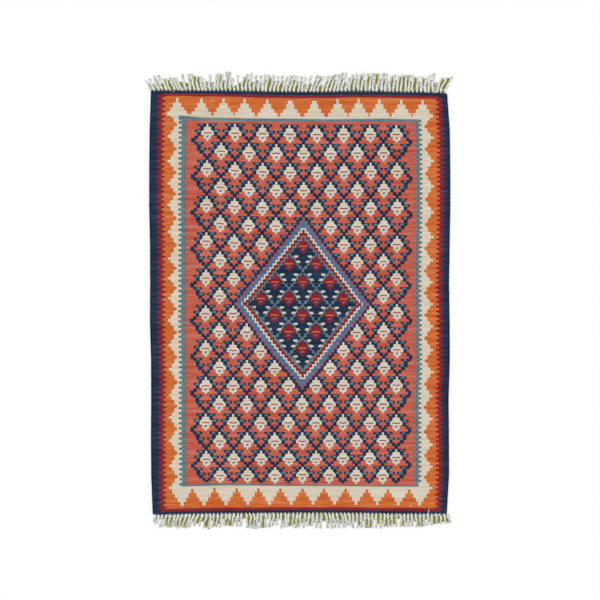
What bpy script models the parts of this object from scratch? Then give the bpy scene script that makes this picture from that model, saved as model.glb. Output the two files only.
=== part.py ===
"""Kilim rug: a flat woven cloth with a fringe of warp cords at each end.

The rug lies flat on the floor, z = 0, with its origin under the middle of the whole
footprint, fringes included. +Y runs along the warps to the far end, +X across them,
+Z up. Lengths in the tables are in millimetres, from the origin.
"""

import math

import bmesh
import bpy

MM = 0.001

# The woven cloth
CLOTH_THICK = 4.0        # tapestry weave of wool over cotton warps
SELVEDGE_ROUND = 1.2     # the edge rolls over softly
SIDE_STEPS = 30          # points along each selvedge
END_STEPS = 24           # points along each woven end
CORNER_STEPS = 4

# The fringe
PARTING = 0.3            # between the cloth's end and the backing strip
STRIP_DEEP = 3.0         # backing strip, along the warps
CORD_THICK = 3.2         # a plied cord, flattened where it lies
CORD_WIDE = 8.6          # at its root
CORD_FRAY = 6.4          # near its tip, where the plies part
CORD_TIP = 4.6
CORD_CROWN = 0.62        # width of a cord's top face, as a share of its foot
CORD_STEPS = 4
YARN_THICK = 1.6         # the short flat ends between the cords
YARN_WIDE = 6.6
YARN_IN_LOCK = (0.25, 0.5, 0.82)     # its sections, as shares of the cords' length
YARN_IN_V = (0.25, 0.38)             # shorter where two locks part
CLEAR = 0.8              # least space between neighbours past their roots

# Selvedges: the cloth is a little uneven, as hand weaving is.
# y, left edge x, right edge x
SELVEDGES = (
    (-889, -614, 620),
    (-813, -616, 624),
    (-709, -617, 627),
    (-542, -618, 626),
    (-383, -617, 625),
    (-292, -617, 630),
    (-187, -619, 628),
    (-83, -622, 629),
    (22, -621, 627),
    (126, -622, 627),
    (272, -622, 630),
    (376, -625, 632),
    (564, -625, 632),
    (669, -624, 631),
    (794, -622, 627),
    (873, -620, 625),
)

# Woven ends: x, far end y, near end y
ENDS = (
    (-625, 874, -894),
    (-557, 877, -892),
    (-432, 875, -888),
    (-265, 875, -886),
    (-127, 872, -885),
    (7, 870, -884),
    (132, 871, -884),
    (236, 874, -885),
    (320, 873, -886),
    (424, 870, -888),
    (529, 869, -888),
    (632, 867, -890),
)

# Corners: how far each is worn round
CORNER = {"near left": 11.0, "far left": 7.0, "far right": 22.0, "near right": 9.0}

# Fringe locks. The cords of a lock lean together, with an open V to the next lock.
# cords, x of the first tip, x of the last tip, y of the first tip, y of the last tip
FAR_LOCKS = (
    (2, -638, -625, 918, 927),
    (2, -605, -586, 937, 940),
    (5, -568, -513, 927, 933),
    (1, -487, -487, 944, 944),
    (4, -461, -412, 946, 935),
    (2, -396, -371, 927, 940),
    (3, -342, -320, 946, 946),
    (2, -301, -290, 954, 956),
    (1, -279, -279, 930, 930),
    (1, -256, -256, 941, 941),
    (3, -231, -198, 935, 948),
    (2, -179, -158, 939, 939),
    (1, -141, -141, 943, 943),
    (5, -124, -49, 941, 935),
    (3, -33, -6, 938, 937),
    (2, 11, 28, 935, 934),
    (1, 51, 51, 940, 940),
    (3, 77, 102, 941, 936),
    (4, 122, 168, 938, 944),
    (2, 183, 199, 951, 951),
    (1, 212, 212, 930, 930),
    (4, 227, 271, 944, 948),
    (6, 288, 370, 948, 947),
    (6, 385, 464, 939, 943),
    (4, 480, 531, 939, 931),
    (2, 548, 563, 939, 947),
    (3, 595, 638, 933, 934),
)
FAR_ROOTS = (-613, 610)      # x of the first and the last root
FAR_SWAY = -4.5              # cords leave the weave to the left, along their twist

NEAR_LOCKS = (
    (2, -610, -598, -926, -935),
    (1, -580, -580, -949, -949),
    (7, -563, -475, -946, -953),
    (3, -458, -419, -948, -943),
    (2, -399, -379, -952, -956),
    (3, -362, -330, -950, -948),
    (5, -315, -244, -943, -945),
    (4, -215, -177, -952, -955),
    (2, -159, -143, -952, -950),
    (1, -123, -123, -949, -949),
    (2, -109, -93, -943, -940),
    (2, -73, -62, -954, -948),
    (5, -46, 19, -947, -951),
    (4, 36, 89, -944, -954),
    (4, 120, 170, -952, -952),
    (2, 188, 200, -953, -947),
    (2, 213, 225, -940, -952),
    (2, 246, 261, -952, -950),
    (3, 277, 306, -947, -952),
    (6, 324, 405, -952, -945),
    (4, 426, 473, -947, -946),
    (3, 494, 521, -948, -945),
    (6, 536, 632, -941, -931),
)
NEAR_ROOTS = (-603, 620)
NEAR_SWAY = 3.5

COLOURS = {                  # linear RGB, roughness
    "Woven dyed wool": ((0.38, 0.10, 0.07), 0.9),
    "Plied cotton warp": ((0.72, 0.74, 0.73), 0.85),
}


def smooth(table, at, column):
    """The value of a column at a place, on a smooth line through the table's rows."""
    last = len(table) - 1
    row = 0
    while row < last - 1 and at > table[row + 1][0]:
        row += 1
    a, b = table[row], table[row + 1]
    before, after = table[max(row - 1, 0)], table[min(row + 2, last)]
    step = b[0] - a[0]
    t = (at - a[0]) / step
    slope_a = (b[column] - before[column]) / (b[0] - before[0]) * step
    slope_b = (after[column] - a[column]) / (after[0] - a[0]) * step
    return ((2 * t ** 3 - 3 * t ** 2 + 1) * a[column] + (t ** 3 - 2 * t ** 2 + t) * slope_a
            + (3 * t ** 2 - 2 * t ** 3) * b[column] + (t ** 3 - t ** 2) * slope_b)


def side(y, column):
    return smooth(SELVEDGES, y, column)


def end(x, column):
    return smooth(ENDS, x, column)


def rounded(start, corner, stop):
    """Points of a corner that is worn round, from start to stop."""
    points = []
    for i in range(1, CORNER_STEPS):
        t = i / CORNER_STEPS
        points.append(tuple(
            (1 - t) ** 2 * start[k] + 2 * t * (1 - t) * corner[k] + t ** 2 * stop[k]
            for k in (0, 1)))
    return points


def between(first, last, steps):
    return [first + (last - first) * i / steps for i in range(steps + 1)]


def cloth_outline():
    """The outline, clockwise from the near left corner."""
    near_left = (side(-889, 1), end(-614, 2))
    far_left = (side(873, 1), end(-620, 1))
    far_right = (side(868, 2), end(625, 1))
    near_right = (side(-889, 2), end(620, 2))
    worn = CORNER
    left = [(side(y, 1), y) for y in between(near_left[1] + worn["near left"],
                                             far_left[1] - worn["far left"], SIDE_STEPS)]
    far = [(x, end(x, 1)) for x in between(far_left[0] + worn["far left"],
                                           far_right[0] - worn["far right"] * 0.6, END_STEPS)]
    right = [(side(y, 2), y) for y in between(far_right[1] - worn["far right"],
                                              near_right[1] + worn["near right"], SIDE_STEPS)]
    near = [(x, end(x, 2)) for x in between(near_right[0] - worn["near right"],
                                            near_left[0] + worn["near left"], END_STEPS)]
    points = left + rounded(left[-1], far_left, far[0])
    points += far + rounded(far[-1], far_right, right[0])
    points += right + rounded(right[-1], near_right, near[0])
    points += near + rounded(near[-1], near_left, left[0])
    return points


def build_cloth(collection):
    """A flat outline, filled and given its thickness, with a softly rolled edge."""
    outline = cloth_outline()
    curve = bpy.data.curves.new("cloth_outline", "CURVE")
    curve.dimensions = "2D"
    curve.fill_mode = "BOTH"
    curve.extrude = (CLOTH_THICK / 2 - SELVEDGE_ROUND) * MM
    curve.bevel_depth = SELVEDGE_ROUND * MM
    curve.bevel_resolution = 1
    curve.offset = -SELVEDGE_ROUND * MM
    spline = curve.splines.new("POLY")
    spline.points.add(len(outline) - 1)
    for point, (x, y) in zip(spline.points, outline):
        point.co = (x * MM, y * MM, 0.0, 1.0)
    spline.use_cyclic_u = True
    cloth = bpy.data.objects.new("cloth", curve)
    cloth.location = (0.0, 0.0, CLOTH_THICK / 2 * MM)
    collection.objects.link(cloth)
    return cloth


def lock_tips(locks):
    """Tip of each cord, with the number of the lock that it is in."""
    tips = []
    for number, (cords, x_first, x_last, y_first, y_last) in enumerate(locks):
        for i in range(cords):
            t = i / (cords - 1) if cords > 1 else 0.0
            uneven = 2.5 * math.sin(2.4 * len(tips)) if 0 < i < cords - 1 else 0.0
            tips.append((x_first + (x_last - x_first) * t,
                         y_first + (y_last - y_first) * t + uneven, number))
    return tips


def cord_line(root, tip, sway, t):
    """A point along a cord: it leaves by its twist, then swings to its tip."""
    ease = t * t * (3 - 2 * t) * 0.35 + t * 0.65
    x = root[0] + (tip[0] - root[0]) * ease + sway * math.sin(math.pi * t) * (1 - t)
    return x, root[1] + (tip[1] - root[1]) * t


def cord_width(t):
    if t < 0.85:
        return CORD_WIDE + (CORD_FRAY - CORD_WIDE) * t / 0.85
    return CORD_FRAY + (CORD_TIP - CORD_FRAY) * (t - 0.85) / 0.15


def shift_face(shape, face, section):
    """Extrude a face of the strip on to the next section of its strand."""
    grown = bmesh.ops.extrude_discrete_faces(shape, faces=[face])["faces"][0]
    corners = sorted(grown.verts, key=lambda v: (v.co.z, v.co.x))
    for vert, place in zip(corners, section):
        vert.co = place
    return grown


def section_of(x, y, wide, thick, crown=1.0):
    """Foot left, foot right, top left, top right."""
    return [((x - wide / 2) * MM, y * MM, 0.0),
            ((x + wide / 2) * MM, y * MM, 0.0),
            ((x - wide * crown / 2) * MM, y * MM, thick * MM),
            ((x + wide * crown / 2) * MM, y * MM, thick * MM)]


def build_fringe(name, column, locks, roots, sway, collection):
    """Backing strip along one end, with its cords and the short yarn ends between them."""
    outward = 1 if column == 1 else -1
    tips = lock_tips(locks)
    pitch = (roots[1] - roots[0]) / (len(tips) - 1)
    root_x = [roots[0] + pitch * i for i in range(len(tips))]

    # The strip's cells alternate: a cord, the yarn end beside it, the next cord.
    bounds = [root_x[0] - CORD_WIDE / 2]
    for x in root_x:
        if x != root_x[0]:
            bounds.append(x - CORD_WIDE / 2)
        bounds.append(x + CORD_WIDE / 2)

    shape = bmesh.new()
    columns = []
    for x in bounds:
        y_in = end(x, column) + outward * PARTING
        y_out = y_in + outward * STRIP_DEEP
        columns.append([shape.verts.new((x * MM, y * MM, z * MM))
                        for y, z in ((y_in, 0.0), (y_out, 0.0),
                                     (y_out, CORD_THICK), (y_in, CORD_THICK))])
    first = shape.faces.new(columns[0])
    shape.faces.new(reversed(columns[-1]))
    for left, right in zip(columns, columns[1:]):
        for k in range(4):
            n = (k + 1) % 4
            shape.faces.new((left[k], right[k], right[n], left[n]))
    bmesh.ops.recalc_face_normals(shape, faces=shape.faces)

    def outer_face(left, right):
        wanted = {left[1], right[1], right[2], left[2]}
        return next(f for f in left[1].link_faces if set(f.verts) == wanted)

    cells = [outer_face(a, b) for a, b in zip(columns, columns[1:])]
    cord_cells, yarn_cells = cells[0::2], cells[1::2]

    def cord_at(i, t):
        root = (root_x[i], end(root_x[i], column) + outward * (PARTING + STRIP_DEEP))
        return cord_line(root, tips[i], sway, t)

    def cord_at_y(i, y):
        """x and width of a cord where it crosses y."""
        y_root = cord_at(i, 0.0)[1]
        t = min(max((y - y_root) / (tips[i][1] - y_root), 0.0), 1.0)
        low = min(int(t * CORD_STEPS), CORD_STEPS - 1) / CORD_STEPS
        high = low + 1 / CORD_STEPS
        share = (t - low) * CORD_STEPS
        x = cord_at(i, low)[0] * (1 - share) + cord_at(i, high)[0] * share
        wide = cord_width(low) * (1 - share) + cord_width(high) * share
        return x, wide

    for i, face in enumerate(cord_cells):
        for step in range(1, CORD_STEPS + 1):
            t = step / CORD_STEPS
            x, y = cord_at(i, t)
            face = shift_face(shape, face,
                              section_of(x, y, cord_width(t), CORD_THICK, CORD_CROWN))

    for i, face in enumerate(yarn_cells):
        sections = YARN_IN_LOCK if tips[i][2] == tips[i + 1][2] else YARN_IN_V
        y_root = (cord_at(i, 0.0)[1] + cord_at(i + 1, 0.0)[1]) / 2
        reach = min(abs(tips[i][1] - y_root), abs(tips[i + 1][1] - y_root))
        for share in sections:
            y = y_root + outward * reach * share
            x_left, wide_left = cord_at_y(i, y)
            x_right, wide_right = cord_at_y(i + 1, y)
            low = x_left + wide_left / 2 + CLEAR
            high = x_right - wide_right / 2 - CLEAR
            wide = max(min(high - low, YARN_WIDE), 0.8)
            face = shift_face(shape, face, section_of((low + high) / 2, y, wide, YARN_THICK))

    mesh = bpy.data.meshes.new(name)
    shape.to_mesh(mesh)
    shape.free()
    fringe = bpy.data.objects.new(name, mesh)
    collection.objects.link(fringe)
    return fringe


def material(name):
    colour, roughness = COLOURS[name]
    made = bpy.data.materials.new(name)
    made.use_nodes = True
    shader = made.node_tree.nodes["Principled BSDF"]
    shader.inputs["Base Color"].default_value = (*colour, 1.0)
    shader.inputs["Roughness"].default_value = roughness
    return made


for thing in list(bpy.data.objects):
    bpy.data.objects.remove(thing, do_unlink=True)

rug = bpy.data.collections.new("Kilim rug")
bpy.context.scene.collection.children.link(rug)
wool = material("Woven dyed wool")
cotton = material("Plied cotton warp")

cloth = build_cloth(rug)
cloth.data.materials.append(wool)
for fringe in (build_fringe("fringe_top", 1, FAR_LOCKS, FAR_ROOTS, FAR_SWAY, rug),
               build_fringe("fringe_bottom", 2, NEAR_LOCKS, NEAR_ROOTS, NEAR_SWAY, rug)):
    fringe.data.materials.append(cotton)
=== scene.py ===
# %% [markdown]
# # A kilim rug on a studio floor
#
# A kilim has no pile. Coloured wool is packed so tightly over white cotton warps that the warps
# never show, except at both ends, where they run on as the fringe. Each colour is woven back and
# forth in its own patch, so every edge of the pattern is a staircase.
#
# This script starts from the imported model.

# %% The frame, and the units
import bisect
import math
import random

import bmesh
import bpy
import numpy as np
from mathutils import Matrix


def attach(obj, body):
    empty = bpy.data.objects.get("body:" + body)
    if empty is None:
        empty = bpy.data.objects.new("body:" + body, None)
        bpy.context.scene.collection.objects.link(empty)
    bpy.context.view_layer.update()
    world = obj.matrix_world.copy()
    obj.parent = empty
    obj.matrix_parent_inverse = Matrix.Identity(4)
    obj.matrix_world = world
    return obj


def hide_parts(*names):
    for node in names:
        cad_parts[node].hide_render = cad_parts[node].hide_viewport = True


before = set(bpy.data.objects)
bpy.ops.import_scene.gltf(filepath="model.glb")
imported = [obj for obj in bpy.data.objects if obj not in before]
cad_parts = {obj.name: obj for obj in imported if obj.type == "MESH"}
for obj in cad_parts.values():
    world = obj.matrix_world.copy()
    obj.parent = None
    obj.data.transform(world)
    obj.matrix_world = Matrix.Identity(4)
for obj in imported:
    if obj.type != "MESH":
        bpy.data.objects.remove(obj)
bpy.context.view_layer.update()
MM = 0.001

# %% [markdown]
# ## Camera, floor and light
#
# The rug is seen from straight above, so the camera hangs over it and looks down. A long lens
# keeps the sides upright. Blender's camera already looks down its own -Z axis with +Y up, so it
# needs no rotation at all.

# %% A camera straight above
def new_object(name, data):
    """An object in the scene."""
    made = bpy.data.objects.new(name, data)
    bpy.context.scene.collection.objects.link(made)
    return made


VIEW_WIDE = 2505.0  # mm of floor across the picture
VIEW_CENTRE = (4.5, 0.6)  # mm
LENS = 85.0
CLOTH_THICK = 4.0  # mm
camera_data = bpy.data.cameras.new("camera")
camera_data.lens = LENS
camera = new_object("camera", camera_data)
camera_high = VIEW_WIDE * LENS / camera_data.sensor_width
camera.location = (VIEW_CENTRE[0] * MM, VIEW_CENTRE[1] * MM, (camera_high + CLOTH_THICK) * MM)
bpy.context.scene.camera = camera
bpy.context.scene.view_settings.view_transform = "Standard"
print("camera is", round(camera_high * MM, 2), "m above the rug")

# %% [markdown]
# Every colour below is written as the hex value that a picture shows. Blender mixes light in
# linear values, so one function turns the first into the second. Two more fill a shader node's
# inputs and add a node, in one line each, and all materials are made with them.

# %% Colours and nodes
def linear(hex_colour):
    """A hex colour, as a picture shows it, in Blender's linear values."""
    channels = [int(hex_colour[i:i + 2], 16) / 255 for i in (1, 3, 5)]
    return [c / 12.92 if c <= 0.04045 else ((c + 0.055) / 1.055) ** 2.4 for c in channels] + [1.0]


def fill(tree, node, **inputs):
    """Give inputs of a node a value, or a link from another node's output."""
    for name, value in inputs.items():
        socket = node.inputs[int(name[1:]) if name[1:].isdigit() else name.replace("_", " ")]
        if isinstance(value, bpy.types.NodeSocket):
            tree.links.new(value, socket)
        else:
            socket.default_value = value


def add(tree, kind, settings=None, **inputs):
    """A new node, with its own properties from settings and its inputs filled."""
    node = tree.nodes.new(kind)
    for name, value in (settings or {}).items():
        setattr(node, name, value)
    fill(tree, node, **inputs)
    return node


def new_material(name):
    """A material, its node tree and its shader."""
    made = bpy.data.materials.new(name)
    made.use_nodes = True
    return made, made.node_tree, made.node_tree.nodes["Principled BSDF"]


print("white in linear values:", linear("#FFFFFF")[:3])

# %% [markdown]
# The floor is seamless studio paper. Most of the light is an even glow from all sides, and a weak
# soft sun from the far left adds just enough direction to bring out the weave. Their sum on a flat
# surface is 1, so white paper comes out as pure white.

# %% Floor and light
FLOOR_WIDE = 40.0  # m
FLOOR_GAP = 0.4  # mm under the cloth, so that the two faces never flicker
PAPER = "#FFFFFF"
GLOW = 0.78  # share of the light that comes from all sides
SUN_HIGH = 50.0  # degrees above the floor
SUN_FROM = 125.0  # degrees, from +X towards +Y
SUN_SOFT = 25.0  # degrees across
PAPER_GRAIN = 900.0  # fibres to a metre, about 1 mm each

floor_mesh = bpy.data.meshes.new("paper_floor")
half = FLOOR_WIDE / 2
floor_mesh.from_pydata([(-half, -half, 0), (half, -half, 0), (half, half, 0), (-half, half, 0)],
                       [], [(0, 1, 2, 3)])
floor = new_object("paper_floor", floor_mesh)
floor.location.z = -FLOOR_GAP * MM

paper, tree, shader = new_material("matt studio paper")
fibre = add(tree, "ShaderNodeTexNoise", Scale=PAPER_GRAIN, Detail=2.0)
grain = add(tree, "ShaderNodeBump", Strength=0.05, Distance=0.0002, Height=fibre.outputs["Fac"])
fill(tree, shader, Base_Color=linear(PAPER), Roughness=0.95, Normal=grain.outputs["Normal"])
floor_mesh.materials.append(paper)

world = bpy.data.worlds.new("even studio light")
bpy.context.scene.world = world
world.use_nodes = True
glow = world.node_tree.nodes["Background"]
fill(world.node_tree, glow, Color=linear("#FFFFFF"), Strength=GLOW)

sun_data = bpy.data.lights.new("soft sun", "SUN")
sun_data.energy = (1 - GLOW) * math.pi / math.sin(math.radians(SUN_HIGH))
sun_data.angle = math.radians(SUN_SOFT)
sun = new_object("soft sun", sun_data)
sun.rotation_euler = (0.0, math.radians(90 - SUN_HIGH), math.radians(SUN_FROM))
print("light:", GLOW, "from all sides and", round(sun_data.energy, 2), "W/m2 of sun")

# %% [markdown]
# ## The weaver's chart
#
# A weaver works from a chart on squared paper. The chart here is a grid with a cell for each
# square millimetre of cloth, `chart[down, across]`, counted from the far left corner. Each cell
# holds the number of a yarn. Shapes are laid in as plain blocks of cells, a later one over an
# earlier one, which gives the staircases of a kilim for nothing.

# %% Yarns and the empty chart
CLOTH_WIDE = 1250
CLOTH_LONG = 1760
YARNS = ("navy", "selvedge", "crimson", "orange", "cream", "teal", "coral", "blue", "mauve",
         "rose", "ruby", "flame", "painted_shade")
YARN = {name: number for number, name in enumerate(YARNS)}
chart = np.full((CLOTH_LONG, CLOTH_WIDE), YARN["navy"], np.uint8)


def block(yarn, left, right, top, bottom):
    """Lay a block of one yarn. Sides and ends in mm from the far left corner."""
    rows = slice(max(round(top), 0), max(round(bottom), 0))
    columns = slice(max(round(left), 0), max(round(right), 0))
    chart[rows, columns] = YARN[yarn]


print("chart:", chart.shape[1], "by", chart.shape[0], "mm,", len(YARNS), "yarns")

# %% [markdown]
# Slopes in the weave are short staircases too. `stack` lays blocks one under another from a small
# table of their heights and half-widths, and where the two half-widths of a row differ it goes
# from one to the other in steps of a few millimetres.

# %% Stacks of blocks
SLOPE_STEP = 3.0  # mm, height of one step in a slope


def stack(yarn, middle, top, rows):
    """Rows are (height, half-width at its start, half-width at its end)."""
    for height, start, stop in rows:
        steps = max(1, round(min(height, 2 * abs(stop - start)) / SLOPE_STEP))
        for i in range(steps):
            share = (i + 0.5) / steps
            reach = start + (stop - start) * share
            block(yarn, middle - reach, middle + reach, top + height * i / steps,
                  top + height * (i + 1) / steps)
        top += height


print("slopes step every", SLOPE_STEP, "mm")

# %% [markdown]
# ## Border: end bands and guard stripes
#
# From the edge inwards the border is navy, a toothed crimson guard, an orange band, stepped cream
# points and a toothed teal guard. The ends and the sides are drawn from distances to the edge.
# The left border is woven a little wider than the right one, as on the real rug.

# %% Grounds of the border
SELVEDGE = 5.5  # the cord that binds each side, a darker navy, partly its own yarn and partly painted shade of the rolled edge
END_NAVY = (15.5, 8.8)  # depth from the far end, from the near end
END_CRIMSON = (25.5, 20.5)
END_ORANGE = (106.5, 99.0)
CRIMSON_SIDE = ((30.0, 41.0, 52.0, 63.5), (22.8, 33.0, 43.6, 56.2))
TEAL_SIDE = ((119.5, 131.5, 145.5, 156.0), (115.5, 126.0, 136.5, 147.5))
FIELD_ENDS = (128.5, 115.0)
TEAL_DEEP = (12.0, 6.0)  # the teal line across each end
CUT_STEPS = 4  # the far corners of the crimson guard are cut off in steps
CUT_TALL = 3.5
CUT_CLEAR = 12  # how far the cut reaches out over the guard's teeth
CREAM_SIDE = (112.8, 105.1)  # where the innermost steps lie


def across_from(table, column):
    """Left and right end of what lies inside a guard stripe, from its distances to the edges."""
    return table[0][column], CLOTH_WIDE - table[1][column]


near = CLOTH_LONG
# darker navy down both sides: the binding cord, and painted shade of its rolled edge
block("selvedge", 0, SELVEDGE, 0, near)
block("selvedge", CLOTH_WIDE - SELVEDGE, CLOTH_WIDE, 0, near)
crimson = across_from(CRIMSON_SIDE, 1)
block("crimson", *crimson, END_NAVY[0], near - END_NAVY[1])
orange = across_from(CRIMSON_SIDE, 2)
block("orange", *orange, END_CRIMSON[0], near - END_CRIMSON[1])
for side, edge, shorter in ((-1, crimson[0], 4), (1, crimson[1], 2)):
    for i in range(CUT_STEPS):
        line = END_NAVY[0] + CUT_TALL * i
        cut = edge - side * (CUT_TALL * (CUT_STEPS - i) - shorter)
        left, right = sorted((edge + side * CUT_CLEAR, cut))
        block("navy", left, right, line, line + CUT_TALL)
print("orange band:", orange[1] - orange[0], "mm wide")

# %% [markdown]
# The cream points down each side stand on a row of peaks. A weaver counts them by eye, so the
# gaps between peaks differ, and they are listed one by one. Between two peaks the cream always
# goes through the same steps, so those are shares of the gap.

# %% Cream points down the sides
POINT_STEPS = (  # share of half a gap, steps in from the peak
    (0.11, 0), (0.42, 1), (0.48, 1.5), (0.82, 2), (0.88, 2.5), (1.0, 3))
SIDE_POINTS = (  # selvedge to peak, one step, first peak from the far end, gaps
    (-1, 75.6, 12.4, 92,
     (100, 104, 92, 88, 112, 113, 80, 83, 92, 104, 100, 108, 92, 96, 106, 91)),
    (1, 68.5, 12.2, 97,
     (94, 96, 108, 108, 104, 96, 92, 92, 92, 100, 92, 100, 96, 108, 92, 88)))
PAST_ENDS = (18, 16)  # how far the points run on into the far and the near band


def from_side(side, distance):
    """A place across the chart, from a distance to the left (-1) or right (1) selvedge."""
    return distance if side < 0 else CLOTH_WIDE - distance


def between_sides(yarn, side, outer, inner, top, bottom):
    """A block between two distances to one selvedge."""
    a, b = sorted((from_side(side, outer), from_side(side, inner)))
    block(yarn, a, b, top, bottom)


block("cream", CREAM_SIDE[0], CLOTH_WIDE - CREAM_SIDE[1], END_ORANGE[0], near - END_ORANGE[1])
for side, outer, step, first, gaps in SIDE_POINTS:
    inner = TEAL_SIDE[0 if side < 0 else 1][2]
    peak = float(first)
    for number, gap in enumerate((gaps[0], *gaps, gaps[-1])):
        start = peak if number else peak - gap
        for towards, way in ((start, 1), (start + gap, -1)):
            last = 0.0
            for share, steps_in in POINT_STEPS:
                ends = sorted((towards + way * last * gap / 2, towards + way * share * gap / 2))
                top = max(ends[0], END_ORANGE[0] - PAST_ENDS[0])
                bottom = min(ends[1], near - END_ORANGE[1] + PAST_ENDS[1])
                if bottom > top:
                    between_sides("cream", side, outer + step * steps_in, inner, top, bottom)
                last = share
        peak = start + gap
print("side points:", [len(row[4]) + 1 for row in SIDE_POINTS])

# %% [markdown]
# The ends carry triangles. At the far end cream ones stand on the teal line with orange notches
# between them, and at the near end the same cream hangs down between orange triangles.

# %% Triangles across the ends
FAR_PEAKS = (113, (101, 91, 87, 94.5, 96.5, 101, 98, 88, 89, 93, 88))
NEAR_PEAKS = (129, (94, 93, 91, 91, 91.5, 91, 90.5, 90.5, 90, 90, 88.5))
FAR_STEPS = (  # start and end of a step from the edge, half-widths at its start and end
    (33.5, 53.0, 4.2, 5.4), (53.0, 73.0, 16.4, 16.8), (73.0, 90.5, 28.0, 29.0),
    (90.5, END_ORANGE[0], 41.0, 41.5))
NEAR_STEPS = (  # start and end of a step from the edge, half-width
    (98.0, 81.5, 5.6), (81.5, 64.5, 16.6), (64.5, 47.0, 28.2), (47.0, 29.5, 39.6))
BLUNT_PEAKS = (5, 6)  # two far triangles with a wider, lower top
BLUNT = (4.5, 9.5, 10.5)  # how much lower, and its half-widths
PAST_PEAKS = 40  # how far the near cream runs on past the outermost peaks


def places(first, gaps):
    """Peaks across an end, from the first one and the gaps after it."""
    found = [float(first)]
    for gap in gaps:
        found.append(found[-1] + gap)
    return found


far_peaks = places(*FAR_PEAKS)
near_peaks = places(*NEAR_PEAKS)
for number, peak in enumerate(far_peaks):
    for top, bottom, start, stop in FAR_STEPS:
        stack("cream", peak, top, ((bottom - top, start, stop),))
    if number in BLUNT_PEAKS:
        top, bottom = FAR_STEPS[0][:2]
        lower, start, stop = BLUNT
        block("orange", peak - stop, peak + stop, top, top + lower)
        stack("cream", peak, top + lower, ((bottom - top - lower, start, stop),))
block("cream", near_peaks[0] - PAST_PEAKS, near_peaks[-1] + PAST_PEAKS,
      near - END_ORANGE[1], near - NEAR_STEPS[-1][1])
for peak, following in zip(near_peaks, near_peaks[1:]):
    middle = (peak + following) / 2
    for top, bottom, half in NEAR_STEPS:
        block("orange", middle - half, middle + half, near - top, near - bottom)
print("triangles:", len(far_peaks), "far,", len(near_peaks), "near")

# %% [markdown]
# Half a triangle more stands at each corner, where the band turns.

# %% Corners of the near triangles
CORNER_EDGE = 52.0  # from the selvedge to the corner's upright side
CORNER_HALF = 45.2  # from the last peak to the middle of the half triangle

for side, peak in ((-1, near_peaks[0]), (1, near_peaks[-1])):
    edge = from_side(side, CORNER_EDGE)
    for top, bottom, half in NEAR_STEPS:
        left, right = sorted((edge, peak + side * (CORNER_HALF - half)))
        block("orange", left, right, near - top, near - bottom)
print("half triangles: 2")

# %% [markdown]
# ## The field
#
# Inside the teal guard lies a coral ground with a lattice of navy stems. Each mesh of the lattice
# holds a cream bud, and rows of eight and seven buds take turns, half a mesh apart.

# %% Teal guard and coral ground
field_top, field_bottom = FIELD_ENDS[0], near - FIELD_ENDS[1]
far_teal, teal, coral = (across_from(TEAL_SIDE, column) for column in range(3))
block("teal", *far_teal, field_top - TEAL_DEEP[0], field_top)
block("teal", *teal, field_top, field_bottom + TEAL_DEEP[1])
block("coral", *coral, field_top, field_bottom)
print("field:", field_bottom - field_top, "mm long")

# %% [markdown]
# Each bud is one stack of blocks: a spike, a crown, a wide body with a plum line across it, a
# lower block with a blue eye, and a tip. Beside it the stem steps down in short blocks, with a
# small slanted leaf on each of two shoulders, and ends in a spine over the bud below. Both are
# charted once, round the bud's middle, and the medallion weaves the same bud in other colours.

# %% One bud and its stems
BUD_TOP = -36.4  # from the bud's middle
BUD = (  # height, half-width at its start, half-width at its end
    (13.3, 3.6, 4.7), (11.3, 14.8, 14.8), (7.2, 17.0, 26.0), (12.8, 26.3, 26.3),
    (15.5, 15.8, 14.4), (3.2, 8.6, 8.6), (7.1, 4.8, 3.4))
STEM = {  # from the bud's middle: out from, out to, down from, down to
    "stem": (
        (0.0, 37.5, -39.4, -27.6), (37.5, 41.3, -38.4, -29.4), (12.0, 30.5, -28.4, -13.0),
        (14.0, 49.0, -15.6, -2.6), (49.0, 52.8, -14.4, -4.2), (23.5, 42.0, -3.2, 11.4),
        (37.5, 51.5, 9.2, 12.0), (38.5, 53.5, 12.0, 24.4), (49.0, 64.0, 18.5, 38.6)),
    "leaf": (
        (19.5, 31.5, -36.4, -34.4), (17.5, 32.5, -34.4, -32.0), (17.0, 29.5, -32.0, -29.8),
        (17.5, 24.5, -29.8, -28.0), (28.5, 42.5, -12.4, -10.0), (27.6, 45.2, -10.0, -6.4),
        (29.5, 43.0, -6.4, -4.4)),
}
THIN_STEM = {  # the same inside the medallion
    "stem": (
        (2.5, 9.0, -38.5, -32.5), (7.8, 16.7, -34.4, -24.5), (15.5, 21.0, -26.5, -22.5),
        (19.8, 27.7, -25.0, -10.4), (27.0, 31.5, -11.5, -3.5), (30.0, 38.0, -4.2, 7.3),
        (37.0, 41.0, 6.0, 10.5), (40.0, 49.0, 8.4, 20.9), (48.5, 53.0, 19.5, 23.0),
        (52.3, 60.7, 20.9, 36.0)),
    "leaf": (
        (20.5, 37.0, -35.6, -31.2), (18.5, 34.5, -31.2, -26.8), (28.6, 43.5, -13.6, -9.2),
        (30.0, 46.5, -9.2, -4.6)),
}
DASH = (15.6, 5.0, 3.2)  # half its width, its thickness, how far its top lies above the middle
EYE = (5.0, 2.8, 1.8)  # half a pick, its height, its shift from pick to pick
EYE_DOWN = 14.6  # below the bud's middle
FIELD_DYES = {"stem": "navy", "leaf": "teal", "bud": "cream", "line": "rose", "eye": "blue"}
BUD_ACROSS = 113.0  # from bud to bud along a row
BUD_DOWN = 75.0  # from row to row
BUD_ROWS = 20
FIRST_ROW = 182.3
FIELD_MIDDLE = 633.5


def stems(x, y, table, dyes, sides, reach=0.0):
    """Stems on one side of a bud or on both. Reach carries the spine further out."""
    for part, blocks in table.items():
        for inner, outer, top, bottom in blocks:
            more = reach if outer > BUD_ACROSS / 2 else 0.0
            for way in sides:
                a, b = sorted((x + way * inner, x + way * (outer + more)))
                block(dyes[part], a, b, y + top, y + bottom)


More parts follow.
